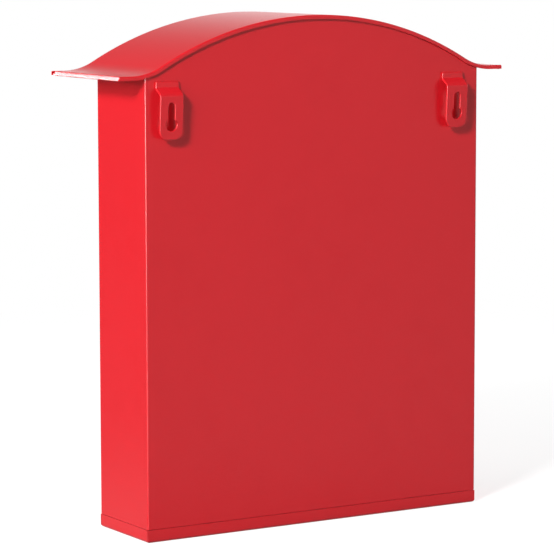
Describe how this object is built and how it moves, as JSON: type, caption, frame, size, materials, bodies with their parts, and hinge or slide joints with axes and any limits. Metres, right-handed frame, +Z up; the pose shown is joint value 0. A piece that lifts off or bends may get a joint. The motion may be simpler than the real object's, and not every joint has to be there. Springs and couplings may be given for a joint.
{
  "type": "letter box",
  "caption": "Wall letter box in folded sheet steel with an arched roof, keyhole hangers on its back, a mail flap and a lockable door in front.",
  "frame": {"origin": "centre of the body's footprint, on the underside of the bottom pan", "axes": "+Z up along the box's height; the door and the mail flap face -Y and the hangers stand out at +Y; +X is to the right for someone who faces the door"},
  "size_m": [0.3674, 0.1234, 0.4192],
  "materials": {
    "red_coat": "satin powder coat on sheet steel",
    "zinc": "zinc plate, slightly dull",
    "lock_metal": "nickel plate, lightly brushed"
  },
  "bodies": {
    "body": {"shell": "red_coat", "bottom_pan": "red_coat", "roof": "red_coat", "hanger_left": "red_coat", "hanger_right": "red_coat", "fascia": "red_coat", "flap_rod": "zinc", "flap_bracket_left": "red_coat", "flap_bracket_right": "red_coat", "hinge_pin_lower": "zinc", "hinge_pin_upper": "zinc", "hinge_washer_lower": "zinc", "hinge_washer_upper": "zinc", "lock_stile": "red_coat"},
    "mail_flap": {"flap": "red_coat"},
    "front_door": {"door": "red_coat", "lock_barrel": "lock_metal", "lock_nut": "zinc"},
    "lock_core": {"lock_plug": "lock_metal", "lock_cam": "zinc", "cam_washer": "zinc", "cam_screw": "zinc"}
  },
  "joints": [
    {"name": "flap_hinge", "type": "hinge", "parent": "body", "child": "mail_flap", "pos_m": [0, -0.04175, 0.3615], "axis": [-1, 0, 0], "range_deg": [0, 75]},
    {"name": "door_hinge", "type": "hinge", "parent": "body", "child": "front_door", "pos_m": [-0.141, -0.0355, 0.154], "axis": [0, 0, -1], "range_deg": [0, 110]},
    {"name": "lock_turn", "type": "hinge", "parent": "front_door", "child": "lock_core", "pos_m": [0.122, -0.035, 0.154], "axis": [0, -1, 0], "range_deg": [0, 90]}
  ]
}
